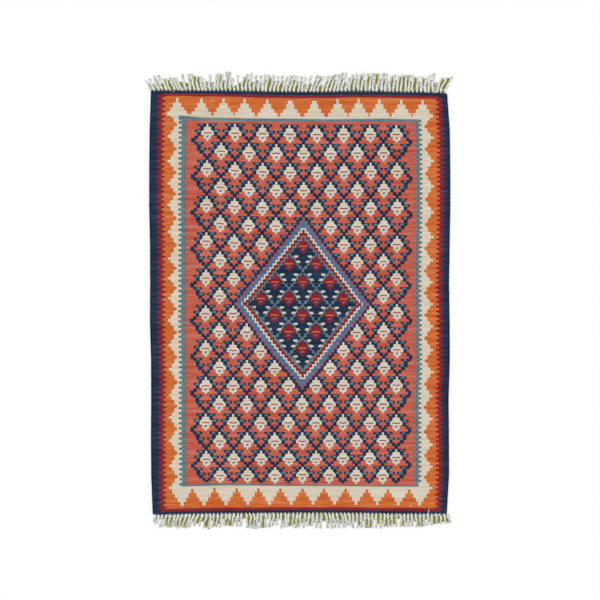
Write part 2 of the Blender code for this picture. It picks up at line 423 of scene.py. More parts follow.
def bud(x, y, dyes, squeeze=1.0):
    """A bud round its middle. Squeeze makes it shorter, for rows that lie closer."""
    rows = [(height * squeeze, start, stop) for height, start, stop in BUD]
    stack(dyes["bud"], x, y + BUD_TOP * squeeze, rows)
    dash(x, y, dyes["line"])
    eye(x, y + EYE_DOWN * squeeze, dyes["eye"])


def dash(x, y, yarn):
    """A line across the bud in three parts, woven a little wavy."""
    half, thick, up = DASH
    for i, lower in enumerate(((1.0, 0.0, 1.0), (0.0, 1.0, 0.0))[int(x) % 2]):
        left = x - half + 2 * half * i / 3
        block(yarn, left, left + 2 * half / 3, y - up + lower, y - up + lower + thick)


def eye(x, y, yarn):
    """A slanted dot of three short picks."""
    half, thick, slant = EYE
    for row in (-1, 0, 1):
        top = y + (row - 0.5) * thick
        block(yarn, x - row * slant - half, x - row * slant + half, top, top + thick)


print("blocks:", len(BUD), "in a bud,", len(STEM["stem"]), "in a stem,", len(STEM["leaf"]),
      "in its leaves")

# %% The rows of buds
STEP_WIDE = 11.36  # of the stepped diamond that is laid over the field
STEP_TALL = (15.15, 14.6)  # in its far half, in its near half
DIAMOND_REACH = 24  # columns on each side of the middle one
DIAMOND_MIDDLE = 890.5
SPIKE_GROUND = (13, -28.4, -22)  # navy behind a bud's spike: half-width, from, to
EDGE_REACH = 3.0  # how much further the outermost spines reach
LAST_ROW_DEEP = 31.5  # below the last buds' middles, where their stems are cut off


def in_diamond(x, y):
    """Whether a place on the chart lies inside the stepped diamond."""
    tall = STEP_TALL[0] if y < DIAMOND_MIDDLE else STEP_TALL[1]
    return abs(x - FIELD_MIDDLE) / STEP_WIDE + abs(y - DIAMOND_MIDDLE) / tall < DIAMOND_REACH


buds_woven = 0
for row in range(BUD_ROWS):
    y = FIRST_ROW + BUD_DOWN * row
    count = 8 if row % 2 == 0 else 7
    row_places = [FIELD_MIDDLE + BUD_ACROSS * (i - (count - 1) / 2) for i in range(count)]
    if count == 7:
        stems(row_places[0] - BUD_ACROSS, y, STEM, FIELD_DYES, (1,))
        stems(row_places[-1] + BUD_ACROSS, y, STEM, FIELD_DYES, (-1,))
    for x in row_places:
        ways = (-1, 1)
        if count == 8 and x == row_places[0]:
            stems(x, y, STEM, FIELD_DYES, (-1,), reach=EDGE_REACH)
            ways = (1,)
        stems(x, y, STEM, FIELD_DYES, ways)
        half, top, bottom = SPIKE_GROUND
        block("navy", x - half, x + half, y + top, y + bottom)
    if row == BUD_ROWS - 1:
        block("coral", *coral, y + LAST_ROW_DEEP, field_bottom)
    for x in row_places:
        if not in_diamond(x, y):
            bud(x, y, FIELD_DYES)
            buds_woven += 1
print("buds in the field:", buds_woven)

# %% [markdown]
# ## The medallion
#
# A stepped diamond lies over the middle of the lattice, 49 columns of steps wide. Two of the rings
# inside it step half a column aside from their neighbours, so that even a thin ring never breaks.
# The far half is beaten less tightly than the near one, so its steps are taller.

# %% Rings of the diamond
RINGS = (("mauve", 14.5), ("blue", 22.5), ("cream", 13.5), ("ruby", 19.5), ("teal", 14.0))
HALF_STEP_RINGS = (2, 4)  # rings whose steps stand half a column aside from the others
OUTLINE = 16.0  # a navy line round them all
TIP_HALF = 7.3  # half the height of a ring's last column on each side


def diamond(ring, depth):
    """Left, right, top and bottom of the columns of a ring, `depth` mm in from the edge."""
    columns = []
    reach = DIAMOND_REACH - ring - (0.5 if ring in HALF_STEP_RINGS else 0)
    for number in range(int(2 * reach) + 1):
        column = number - reach
        steps = DIAMOND_REACH + 0.5 - abs(column)
        up, low = (max(steps * tall - depth, TIP_HALF) for tall in STEP_TALL)
        left = FIELD_MIDDLE + (column - 0.5) * STEP_WIDE
        columns.append((left, left + STEP_WIDE, DIAMOND_MIDDLE - up, DIAMOND_MIDDLE + low))
    return columns


for left, right, top, bottom in diamond(-1, -OUTLINE):
    block("navy", left, right, top, bottom)
depth = 0.0
for ring, (yarn, deep) in enumerate(RINGS):
    for left, right, top, bottom in diamond(ring, depth):
        block(yarn, left, right, top, bottom)
    depth += deep
inside = np.zeros_like(chart, bool)
for left, right, top, bottom in diamond(len(RINGS), depth):
    inside[round(top):round(bottom), round(left):round(right)] = True
print("rings:", len(RINGS), "with", depth, "mm of depth in all")

# %% [markdown]
# Inside the rings the lattice goes on in other colours: ruby buds with a flame line, cream leaves
# and thin teal stems on navy. It is laid over the whole diamond, and then everything outside the
# last ring is put back.

# %% The lattice inside
INNER_DYES = {"stem": "teal", "leaf": "cream", "bud": "ruby", "line": "flame", "eye": "blue"}
INNER_ROWS = ((640, 1), (716, 2), (794, 3), (867, 4), (936, 3), (1003, 2), (1070, 1), (1136, 0))
INNER_SQUEEZE = 0.944  # the rows are closer than in the field
CLEARED = (260, 350)  # half the width and height of the navy laid over the whole diamond

outer_chart = chart.copy()
block("navy", FIELD_MIDDLE - CLEARED[0], FIELD_MIDDLE + CLEARED[0],
      DIAMOND_MIDDLE - CLEARED[1], DIAMOND_MIDDLE + CLEARED[1])
widest = False
for y, count in INNER_ROWS:
    span = count + 2 if widest else count
    row_places = [FIELD_MIDDLE + BUD_ACROSS * (i - (span - 1) / 2) for i in range(span)]
    for number, x in enumerate(row_places):
        ways = [way for way, last in ((-1, 0), (1, span - 1)) if number != last]
        stems(x, y, THIN_STEM, INNER_DYES, ways)
    for x in row_places[1:-1] if widest else row_places:
        bud(x, y, INNER_DYES, INNER_SQUEEZE)
    widest = widest or count == 4
chart[~inside] = outer_chart[~inside]
print("medallion:", 2 * DIAMOND_REACH + 1, "columns of steps")

# %% [markdown]
# ## Teeth of the guards
#
# Each guard stripe is toothed on both sides: one row of weft reaches out, the next draws back.
# The teeth are laid last, because they bite into what lies beside them. Where a yarn turns back
# along a warp, a narrow slit stays open, and beside the teal the shade inside it shows as a dark
# line. The chart paints that shade as a dark yarn, because a cut right through would be finer
# than the picture shows.

# %% Teeth down the sides
TOOTH_PITCH = (  # side, guard, first tooth, last tooth, teeth
    (-1, "crimson", 26.0, 1734.0, 83),
    (1, "crimson", 32.0, 1742.0, 86),
    (-1, "teal", 136.0, 1640.0, 72),
    (1, "teal", 139.0, 1628.0, 74),
)
TOOTH_TALL = 0.52  # as a share of the pitch
TOOTH_TIP = 0.3  # half the height of a tooth's tip, as a share of its height
TOOTH_ROUND = 3.0  # how far the tip stands out
NAVY_TIP = 3.5  # the teal guard's teeth end in a little navy on their outer side
SLIT = 2.0  # the painted shade inside a slit on their inner side, a dark line

teeth = 0
for side, guard, first, last, count in TOOTH_PITCH:
    table = CRIMSON_SIDE if guard == "crimson" else TEAL_SIDE
    out, _, valley_in, tooth_in = table[0 if side < 0 else 1]
    pitch = (last - first) / (count - 1)
    tall = pitch * TOOTH_TALL
    for i in range(count):
        middle = first + pitch * i
        tip = (middle - tall * TOOTH_TIP, middle + tall * TOOTH_TIP)
        between_sides(guard, side, out + TOOTH_ROUND, tooth_in - TOOTH_ROUND,
                      middle - tall / 2, middle + tall / 2)
        between_sides(guard, side, out, tooth_in, *tip)
        if guard == "teal":
            between_sides("navy", side, out, out + NAVY_TIP, *tip)
            # a dark line of painted shade inside the slits beside each tooth
            between_sides("painted_shade", side, tooth_in, tooth_in + SLIT, *tip)
            if i < count - 1:
                between_sides("painted_shade", side, valley_in, valley_in + SLIT,
                              middle + tall / 2, middle + pitch - tall / 2)
        teeth += 1
print("teeth:", teeth)

# %% [markdown]
# Where two colours meet along a weft, each warp shows as a tick of one colour in the other. They
# are drawn along two lines at the far end, over two warps each, as the ribs of the wool are.

# %% Ticks along the far lines
RIB = 8.3  # mm, over two warps
TICK = (4.0, 2.6)  # width and height

for yarn, left, right, line in (
        ("crimson", *orange, END_CRIMSON[0]),
        ("teal", *far_teal, field_top - TEAL_DEEP[0] - TICK[1])):
    ticks = int((right - left) / RIB)
    for i in range(ticks):
        tick = left + RIB * i
        block(yarn, tick, tick + TICK[0], line, line + TICK[1])
    print(yarn, "ticks:", ticks)

# %% [markdown]
# A few picks went astray, as they do on any hand loom: a patch of orange in the coral, and single
# pale or crimson picks in the border.

# %% Stray picks
STRAY = (  # yarn, left, right, top, bottom
    ("orange", 528, 569, 1176, 1190),
    ("cream", 94, 98, 6, 10),
    ("cream", 255, 259, 40, 44),
    ("cream", 1090, 1096, 1729, 1733),
    ("crimson", 1165, 1181, 1647, 1650),
)
for pick in STRAY:
    block(*pick)
print("stray picks:", len(STRAY))

# %% [markdown]
# ## From the chart to a mesh
#
# A mesh with a face for every cell would have two million faces. Instead each patch of one yarn
# is cut into the largest upright rectangles that fit, and only long ones are cut again so that
# they can follow the cloth's slightly wavy outline.

# %% Rectangles of one yarn
PANEL = 160  # mm, the longest side of a rectangle


def rectangles(cells):
    """(left, right, top, bottom, yarn) of blocks that cover the chart without overlaps."""
    rows, columns = cells.shape
    cuts = set(range(0, columns, PANEL))
    open_runs = {}
    done = []
    for row in range(rows + 1):
        runs = {}
        if row < rows:
            line = cells[row]
            changes = set((np.flatnonzero(line[1:] != line[:-1]) + 1).tolist())
            marks = sorted(cuts | changes | {0, columns})
            for left, right in zip(marks, marks[1:]):
                runs[(left, right, int(line[left]))] = row
        for key in list(open_runs):
            top = open_runs[key]
            if key in runs and row % PANEL:
                runs[key] = top
            else:
                done.append((key[0], key[1], top, row, key[2]))
        open_runs = runs
    return done


panels = rectangles(chart)
print("rectangles:", len(panels))

# %% [markdown]
# Neighbouring rectangles differ in size, so a corner of one often lies halfway along the side of
# another. Each rectangle therefore takes in every corner on its rim, and is cut into triangles one
# corner at a time. That way the whole face of the rug is one joined sheet with no loose edges.

# %% Joined triangles
def twice_area(a, b, c):
    """Twice the area of a triangle, positive when its corners go round clockwise on the chart."""
    return (b[0] - a[0]) * (c[1] - a[1]) - (b[1] - a[1]) * (c[0] - a[0])


def cut_up(rim, points, whole):
    """Triangles of a rectangle, from the points on its rim and twice its whole area."""
    rim = list(rim)
    triangles = []
    while len(rim) > 3:
        best = None
        for i in range(len(rim)):
            a, b, c = (points[rim[k % len(rim)]] for k in (i - 1, i, i + 1))
            size = twice_area(a, b, c)
            if 0 < size < whole:
                cut = (a[0] - c[0]) ** 2 + (a[1] - c[1]) ** 2
                if best is None or cut < best[0]:
                    best = (cut, i, size)
        _, i, size = best
        triangles.append((rim[(i + 1) % len(rim)], rim[i], rim[i - 1]))
        whole -= size
        del rim[i]
    triangles.append(tuple(rim[::-1]))
    return triangles


def between(line, start, stop, back=False):
    """Places of a sorted line from start to stop without the last, in order or backwards."""
    first, last = bisect.bisect_left(line, start), bisect.bisect_left(line, stop)
    return line[first + 1:last + 1][::-1] if back else line[first:last]


def sheet_faces(panels):
    """Points in mm on the chart, triangles, and a yarn for each triangle."""
    corner = {}
    along_row, along_column = {}, {}
    for left, right, top, bottom, _ in panels:
        for x in (left, right):
            for y in (top, bottom):
                corner.setdefault((x, y), len(corner))
    for x, y in corner:
        along_row.setdefault(y, []).append(x)
        along_column.setdefault(x, []).append(y)
    for line in (*along_row.values(), *along_column.values()):
        line.sort()
    points = list(corner)
    triangles, yarns = [], []
    for left, right, top, bottom, yarn in panels:
        rim = [(x, top) for x in between(along_row[top], left, right)]
        rim += [(right, y) for y in between(along_column[right], top, bottom)]
        rim += [(x, bottom) for x in between(along_row[bottom], left, right, back=True)]
        rim += [(left, y) for y in between(along_column[left], top, bottom, back=True)]
        made = cut_up([corner[place] for place in rim], points, 2 * (right - left) * (bottom - top))
        triangles += made
        yarns += [yarn] * len(made)
    return points, triangles, yarns


plan_points, plan_faces, plan_yarns = sheet_faces(panels)
print("points:", len(plan_points), "triangles:", len(plan_faces))

# %% [markdown]
# ## The cloth's real outline
#
# No hand-woven rug is a true rectangle. The first two tables are the outline of the solid, left
# and right selvedge and both ends. The next two say how far the pattern creeps from its true
# place inside that outline, up the rug and across it, because the weft isn't beaten down evenly.

# %% Outline and creep
SELVEDGES = (  # y, left edge x, right edge x
    (-889, -614, 620), (-813, -616, 624), (-709, -617, 627), (-542, -618, 626), (-383, -617, 625),
    (-292, -617, 630), (-187, -619, 628), (-83, -622, 629), (22, -621, 627), (126, -622, 627),
    (272, -622, 630), (376, -625, 632), (564, -625, 632), (669, -624, 631), (794, -622, 627),
    (873, -620, 625))
ENDS = (  # x, far end y, near end y
    (-625, 874, -894), (-557, 877, -892), (-432, 875, -888), (-265, 875, -886), (-127, 872, -885),
    (7, 870, -884), (132, 871, -884), (236, 874, -885), (320, 873, -886), (424, 870, -888),
    (529, 869, -888), (632, 867, -890))
UP_PLACES = (0, 108, 122, 237, 400, 633, 870, 1030, 1145, 1250)  # across the chart
UP_CREEP = (  # down the chart, creep up the rug at those places
    (0, 0, 0, 0, 0, 0, 0, 0, 0, 0, 0),
    (20, 0, 4, 4, 2, 0, 0, 0, 0, 0, 0),
    (60, 0, 0, 1, 0, 0, 0, 0, 0, 0, 0),
    (112, 0, 0, 10, 2, 0, 2, -2, 1, 0, 0),
    (130, 0, 0, 4, 2, 0, 2, -2, 2, 0, 0),
    (145, 0, 0, 1, 8, 6, 5, 3, 5, 0, 0),
    (180, 0, 0, 3, 6, 3, 3, 0, 3, 0, 0),
    (330, 0, 0, 0, 6, -5, -7, -6, -1, 0, 0),
    (480, 0, 0, 0, 6, -5, -7, -9, -3, 0, 0),
    (630, 0, 0, 0, 4, -6, -7, -12, -7, 0, 0),
    (780, 0, 0, 0, 0, -4, -3, -5, 1, 0, 0),
    (930, 0, 0, 0, 1, 2, 0, -2, 9, 0, 0),
    (1080, 0, 0, 0, 6, -5, -5, -3, 3, 0, 0),
    (1230, 0, 0, 0, 1, -1, 1, 1, 5, 0, 0),
    (1380, 0, 0, 0, -2, -5, -5, -6, -4, 0, 0),
    (1530, 0, 0, 0, -6, -6, -7, -3, 3, 0, 0),
    (1603, 0, 0, 0, 0, 0, 3, 1, 4, 0, 0),
    (1645, 0, 0, 0, 6, 2, -1, -1, 0, 0, 0),
    (1700, 0, 0, 0, 0, 0, 0, 0, 0, 0, 0),
    (1745, 0, 0, 0, 0, 0, 0, 0, 0, 0, 0),
    (1760, -2, -4, -4, -3.5, -3, -3, -3, -4, -4, -2),
)
ACROSS_PLACES = (0, 45, 237, 440, 633, 830, 1030, 1205, 1250)
ACROSS_CREEP = (  # down the chart, creep to the right at those places
    (0, 0, 0, 1, 3, 3, 2, -1, 0, 0),
    (120, 0, 0, 2, 5, 3.5, 2.5, -1.5, 0, 0),
    (180, 0, 0, 3, 6.5, 6.5, 4.5, -1.5, 0, 0),
    (330, 0, 0, 2, 7, 8, 5.5, 0, 0, 0),
    (480, 0, 0, 0, 6, 7.5, 5, 1, 0, 0),
    (630, 0, 0, -3, 2.5, 6, 6, 1, 0, 0),
    (780, 0, 0, -4, 1.5, 5, 6.5, 1.5, 0, 0),
    (930, 0, 0, -6, -2.5, 3.5, 5, 2, 0, 0),
    (1080, 0, 0, -8, -5.5, 1, 3.5, 2, 0, 0),
    (1230, 0, 0, -9, -5.5, 1, 4, 1.5, 0, 0),
    (1380, 0, 0, -8, -4, 1, 3, 0.5, 0, 0),
    (1530, 0, 0, -6, -2.5, 2.5, 2, -1, 0, 0),
    (1645, 0, 0, -5, -2, 1, 1, -1.5, 0, 0),
    (1760, 0, 0, 0, 0, 0, 0, 0, 0, 0),
)
CORNERS = (  # on the right, at the near end, radius
    (False, False, 7.0), (True, False, 22.0), (False, True, 11.0), (True, True, 9.0))
LEFT_MEAN = -621  # x of the left selvedge on average, a first guess


def smooth(table, at, column):
    """Values of a column at many places, on a smooth line through the table's rows."""
    table = np.array(table, float)
    places_in, values = table[:, 0], table[:, column]
    slopes = np.empty_like(values)
    slopes[1:-1] = (values[2:] - values[:-2]) / (places_in[2:] - places_in[:-2])
    slopes[0] = (values[1] - values[0]) / (places_in[1] - places_in[0])
    slopes[-1] = (values[-1] - values[-2]) / (places_in[-1] - places_in[-2])
    row = np.clip(np.searchsorted(places_in, at, side="left") - 1, 0, len(places_in) - 2)
    step = places_in[row + 1] - places_in[row]
    t = (at - places_in[row]) / step
    return ((2 * t ** 3 - 3 * t ** 2 + 1) * values[row]
            + (t ** 3 - 2 * t ** 2 + t) * slopes[row] * step
            + (3 * t ** 2 - 2 * t ** 3) * values[row + 1]
            + (t ** 3 - t ** 2) * slopes[row + 1] * step)


def creep(table, places_across, across, down):
    """Creep at many places of the chart, from a table with a column for each place across."""
    result = np.zeros_like(across)
    for i in range(len(places_across) - 1):
        a, b = places_across[i], places_across[i + 1]
        here = (across >= a) & (across <= b)
        t = (across[here] - a) / (b - a)
        t = t * t * (3 - 2 * t)
        left = smooth(table, down[here], i + 1)
        right = smooth(table, down[here], i + 2)
        result[here] = left * (1 - t) + right * t
    return result


def worn(across, down):
    """Pull the chart's four corners in to their rounded shape."""
    across, down = across.copy(), down.copy()
    for right, low, r in CORNERS:
        a = CLOTH_WIDE - across if right else across
        b = CLOTH_LONG - down if low else down
        here = (a < r) & (b < r)
        p, q = (r - a[here]) / r, (r - b[here]) / r
        scale = np.maximum(p, q) / np.maximum(np.hypot(p, q), 1e-6)
        a_new, b_new = r - p * scale * r, r - q * scale * r
        across[here] = CLOTH_WIDE - a_new if right else a_new
        down[here] = CLOTH_LONG - b_new if low else b_new
    return across, down


def on_rug(across, down):
    """Places on the chart, in mm, to x and y on the rug, in mm."""
    across, down = worn(np.asarray(across, float), np.asarray(down, float))
    share_x, share_y = across / CLOTH_WIDE, 1 - down / CLOTH_LONG
    x = LEFT_MEAN + across
    for _ in range(3):  # x and y each need the other, and settle in three rounds
        far, low = smooth(ENDS, x, 1), smooth(ENDS, x, 2)
        y = low + (far - low) * share_y
        left, right = smooth(SELVEDGES, y, 1), smooth(SELVEDGES, y, 2)
        x = left + (right - left) * share_x
    return (x + creep(ACROSS_CREEP, ACROSS_PLACES, across, down),
            y + creep(UP_CREEP, UP_PLACES, across, down))


middle = on_rug([CLOTH_WIDE / 2], [CLOTH_LONG / 2])
print("middle of the chart on the rug:", [round(float(v[0]), 1) for v in middle], "mm")

# %% [markdown]
# ## Wool
#
# The pattern is dyed wool, spun by hand and dyed in small lots. One lot is never quite the shade
# of the next, and the weft lies across the rug, so each colour shows faint streaks from side to
# side. Wool scatters light and shines very little, so the roughness is high, with a soft sheen.
#
# The relief of the weave is a bump: ribs over the warps and picks of weft across them. The real
# ones are too fine for the picture, so each rib stands for two warps and each pick for two.

# %% Dyed wool
PICK = 2.6  # mm, two picks of weft
FLECK = 4.2  # mm, the size of uneven spots in handspun yarn
STREAKS = (4.0, 70.0, 1.0)  # to a metre: streaks of a lot, 250 mm long and 14 mm deep
PICK_PARTS = (26.0, 1000 / PICK, 1.0)  # each pick shows in parts about 40 mm long
TONE_SPREAD = 0.17  # of the noise, from the base to the deep and to the pale tone
PICK_SHARE = (0.35, 0.45)  # of the picks in the colour, in the relief
WOOL_IOR = 1.54


def set_ramp(ramp, stops):
    """Give the two ends of a colour ramp a place and a hex colour."""
    for element, (position, colour) in zip(ramp.color_ramp.elements, stops):
        element.position = position
        element.color = linear(colour)


def wool(name, base, deep, pale, uneven):
    """Matt dyed wool, tapestry woven: hex colours of the dye, its deep and its pale streaks."""
    made, tree, shader = new_material(name)
    place = add(tree, "ShaderNodeTexCoord").outputs["Object"]
    lot = add(tree, "ShaderNodeMapping", Vector=place, Scale=STREAKS)
    lots = add(tree, "ShaderNodeTexNoise", Vector=lot.outputs["Vector"], Scale=1.0, Detail=3.0,
               Roughness=0.65)
    pick = add(tree, "ShaderNodeMapping", Vector=place, Scale=PICK_PARTS)
    picks = add(tree, "ShaderNodeTexNoise", Vector=pick.outputs["Vector"], Scale=1.0, Detail=1.0)
    fleck = add(tree, "ShaderNodeTexNoise", Vector=place, Scale=1000 / FLECK, Detail=2.0)
    both = add(tree, "ShaderNodeMix", {"data_type": "FLOAT"}, Factor=PICK_SHARE[0],
               A=lots.outputs["Fac"], B=picks.outputs["Fac"])
    ramp = add(tree, "ShaderNodeValToRGB", Fac=both.outputs["Result"])
    set_ramp(ramp, ((0.5 - TONE_SPREAD, deep), (0.5 + TONE_SPREAD, pale)))
    ramp.color_ramp.elements.new(0.5).color = linear(base)
    tone = add(tree, "ShaderNodeMapRange", Value=fleck.outputs["Fac"], From_Min=0.3,
               From_Max=0.7, To_Min=1 - uneven, To_Max=1 + uneven)
    colour = add(tree, "ShaderNodeMix", {"data_type": "RGBA", "blend_type": "MULTIPLY"},
                 Factor=1.0, i6=ramp.outputs["Color"], i7=tone.outputs["Result"])
    ribs = add(tree, "ShaderNodeTexWave", {"bands_direction": "X", "wave_profile": "SIN"},
               Vector=place, Scale=math.pi / 10 / (RIB * MM), Distortion=0.6, Detail=1.0)
    lift = add(tree, "ShaderNodeMix", {"data_type": "FLOAT"}, Factor=PICK_SHARE[1],
               A=ribs.outputs["Fac"], B=picks.outputs["Fac"])
    bump = add(tree, "ShaderNodeBump", Strength=0.5, Distance=0.0008,
               Height=lift.outputs["Result"])
    fill(tree, shader, Base_Color=colour.outputs[2], Normal=bump.outputs["Normal"],
         Roughness=0.92, IOR=WOOL_IOR, Specular_IOR_Level=0.1, Sheen_Weight=0.04)
    return made


print("ribs:", RIB, "mm apart, picks:", PICK, "mm apart")

# %% The dyes
DYES = {  # yarn: base, deep, pale
    "navy": ("#203049", "#12203A", "#324563"),
    # the selvedge's darker navy is partly painted shade of the rolled edge
    "selvedge": ("#111C32", "#0D162C", "#18263E"),
    "crimson": ("#872730", "#6C1621", "#98383E"),
    "orange": ("#CD6932", "#B94C18", "#DA8950"),
    "cream": ("#D5C9B5", "#C8B99F", "#E2DACB"),
    "teal": ("#607B81", "#4A656E", "#799497"),
    "coral": ("#C0604D", "#AF3F2A", "#D37C6C"),
    "blue": ("#427396", "#326289", "#5080A1"),
    "mauve": ("#915565", "#783E4C", "#B17584"),
    "rose": ("#8B485B", "#803E56", "#9C5E6B"),
    "ruby": ("#87222C", "#751824", "#953039"),
    "flame": ("#D16C3B", "#C05B2E", "#DC8654"),
    # the last dye paints the shade inside a slit, not a yarn of its own
    "painted_shade": ("#4A2C30", "#3A2024", "#5A3834"),
}
UNEVEN = {"navy": 0.36, "selvedge": 0.4, "cream": 0.12}  # how far flecks lighten or darken
EVEN = 0.2  # the same for the other dyes
wools = {name: wool(f"{name} wool, tapestry woven", *DYES[name], UNEVEN.get(name, EVEN))
         for name in YARNS}
print("dyes:", len(wools))

# %% [markdown]
# ## The cloth
#
# The sheet is copied to make the underside, because a kilim is the same on both sides, and a rim
# round all four edges joins the two into one closed cloth, 4 mm thick. Its upper face rises and
# falls by half a millimetre in slow waves, as a rug does that has been walked on.

# %% One closed cloth
EDGE_HIGH = 3.1  # mm, where the upper face rolls over at the edge
EDGE_LOW = 0.9  # where the underside does
RELIEF = 0.5  # between the lowest and the highest place of the upper face
MAP_FROM = (-640, -896)  # mm, the corner of the flat map, and its size
MAP_SIZE = 1800

across = np.array([p[0] for p in plan_points], float)
down = np.array([p[1] for p in plan_points], float)
x, y = on_rug(across, down)
to_edge = np.minimum(np.minimum(across, CLOTH_WIDE - across),
                     np.minimum(down, CLOTH_LONG - down))
sway = (np.sin(x / 71.0 + 1.3) * np.sin(y / 96.0) + np.sin(x / 37.0 - y / 52.0) * 0.6) / 1.6
top = CLOTH_THICK - RELIEF / 2 + sway * RELIEF / 2
top = np.where(to_edge < 0.5, EDGE_HIGH, top)
low = np.where(to_edge < 0.5, EDGE_LOW, 0.0)
count = len(across)
points = np.concatenate([np.stack([x, y, top], 1), np.stack([x, y, low], 1)]) * MM
faces = list(plan_faces)
faces += [(c + count, b + count, a + count) for a, b, c in plan_faces]
yarn_of_face = plan_yarns + plan_yarns

used = {edge for a, b, c in plan_faces for edge in ((a, b), (b, c), (c, a))}
for number, (a, b, c) in enumerate(plan_faces):
    for start, stop in ((a, b), (b, c), (c, a)):
        if (stop, start) not in used:
            faces.append((stop, start, start + count))
            faces.append((stop, start + count, stop + count))
            yarn_of_face += [plan_yarns[number]] * 2

cloth_mesh = bpy.data.meshes.new("kilim_cloth")
cloth_mesh.from_pydata(points.tolist(), [], faces)
cloth_mesh.polygons.foreach_set("material_index", yarn_of_face)
for name in YARNS:
    cloth_mesh.materials.append(wools[name])
flat_map = cloth_mesh.uv_layers.new(name="OFBake")
corners = np.empty(len(cloth_mesh.loops), int)
cloth_mesh.loops.foreach_get("vertex_index", corners)
on_map = (points[corners, :2] / MM - MAP_FROM) / MAP_SIZE
flat_map.data.foreach_set("uv", on_map.ravel())
cloth_mesh.update()
kilim_cloth = new_object("kilim_cloth", cloth_mesh)
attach(kilim_cloth, "root")
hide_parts("cloth")
print("cloth:", len(faces), "triangles")

# %% [markdown]
# ## Fringe
#
# The warps run on past the weave as plied cords. Each leaves the cloth by its twist, swings into
# a lock with its neighbours, and comes apart into its yarns at the tip. The locks are the same
# rows as in the solid: how many cords, and where the first and the last tip lie.

# %% Locks of the fringe
FAR_LOCKS = (  # cords, x of the first tip, x of the last tip, y of both
    (2, -638, -625, 918, 927), (2, -605, -586, 937, 940), (5, -568, -513, 927, 933),
    (1, -487, -487, 944, 944), (4, -461, -412, 946, 935), (2, -396, -371, 927, 940),
    (3, -342, -320, 946, 946), (2, -301, -290, 954, 956), (1, -279, -279, 930, 930),
    (1, -256, -256, 941, 941), (3, -231, -198, 935, 948), (2, -179, -158, 939, 939),
    (1, -141, -141, 943, 943), (5, -124, -49, 941, 935), (3, -33, -6, 938, 937),
    (2, 11, 28, 935, 934), (1, 51, 51, 940, 940), (3, 77, 102, 941, 936), (4, 122, 168, 938, 944),
    (2, 183, 199, 951, 951), (1, 212, 212, 930, 930), (4, 227, 271, 944, 948),
    (6, 288, 370, 948, 947), (6, 385, 464, 939, 943), (4, 480, 531, 939, 931),
    (2, 548, 563, 939, 947), (3, 595, 638, 933, 934))
NEAR_LOCKS = (
    (2, -610, -598, -926, -935), (1, -580, -580, -949, -949), (7, -563, -475, -946, -953),
    (3, -458, -419, -948, -943), (2, -399, -379, -952, -956), (3, -362, -330, -950, -948),
    (5, -315, -244, -943, -945), (4, -215, -177, -952, -955), (2, -159, -143, -952, -950),
    (1, -123, -123, -949, -949), (2, -109, -93, -943, -940), (2, -73, -62, -954, -948),
    (5, -46, 19, -947, -951), (4, 36, 89, -944, -954), (4, 120, 170, -952, -952),
    (2, 188, 200, -953, -947), (2, 213, 225, -940, -952), (2, 246, 261, -952, -950),
    (3, 277, 306, -947, -952), (6, 324, 405, -952, -945), (4, 426, 473, -947, -946),
    (3, 494, 521, -948, -945), (6, 536, 632, -941, -931))
FRINGES = (  # piece, solid, column of ENDS, outwards, locks, x of the first and last
    # root, how far in the roots lie, sway of the cords, amount of olive
    ("fringe_far", "fringe_top", 1, 1, FAR_LOCKS, (-618, 610), 3.2, -4.5, 0.78),
    ("fringe_near", "fringe_bottom", 2, -1, NEAR_LOCKS, (-603, 620), -1.4, 3.5, 1.0),
)
UNEVEN_TIPS = 2.5  # how far the inner tips of a lock stand in or out


def lock_tips(locks):
    """Tip of each cord, with the number of the lock that it is in."""
    tips = []
    for number, (cords, x_first, x_last, y_first, y_last) in enumerate(locks):
        for i in range(cords):
            t = i / (cords - 1) if cords > 1 else 0.0
            uneven = UNEVEN_TIPS * math.sin(2.4 * len(tips)) if 0 < i < cords - 1 else 0.0
            tips.append((x_first + (x_last - x_first) * t,
                         y_first + (y_last - y_first) * t + uneven, number))
    return tips


def cord_line(root, tip, sway, t):
    """A point along a cord: it leaves by its twist, then swings to its tip."""
    ease = t * t * (3 - 2 * t) * 0.35 + t * 0.65
    x = root[0] + (tip[0] - root[0]) * ease + sway * math.sin(math.pi * t) * (1 - t)
    return x, root[1] + (tip[1] - root[1]) * t


print("cords:", len(lock_tips(FAR_LOCKS)), "far,", len(lock_tips(NEAR_LOCKS)), "near")

# %% [markdown]
# A cord is nine yarns laid in a rope. Near the weave they turn tightly round each other. Towards
# the tip they untwist, spread and lie down on the floor. Each yarn is a thin tube that follows
# its own line, so rope and tuft come from one formula.

# %% Cords that come apart
def tube(line, radii, sides):
    """Points and faces of a closed tube along a list of points in mm."""
    line = np.array(line, float)
    ahead = np.gradient(line, axis=0)
    ahead /= np.linalg.norm(ahead, axis=1)[:, None]
    across_line = np.cross(ahead, (0.0, 0.0, 1.0))
    across_line /= np.maximum(np.linalg.norm(across_line, axis=1), 1e-6)[:, None]
    upward = np.cross(across_line, ahead)
    turn = np.arange(sides) * 2 * math.pi / sides
    wide = np.array(radii)[:, None, None]
    rings = (line[:, None, :] + np.cos(turn)[None, :, None] * across_line[:, None, :] * wide
             + np.sin(turn)[None, :, None] * upward[:, None, :] * wide)
    return rings.reshape(-1, 3).tolist(), skin(len(line), sides)


def skin(rings, sides):
    """Faces round a run of rings, and one on each end."""
    faces = []
    for ring in range(rings - 1):
        for k in range(sides):
            a, b = ring * sides + k, ring * sides + (k + 1) % sides
            faces.append((a, b, b + sides, a + sides))
    return faces + [tuple(range(sides))[::-1], tuple(range((rings - 1) * sides, rings * sides))]


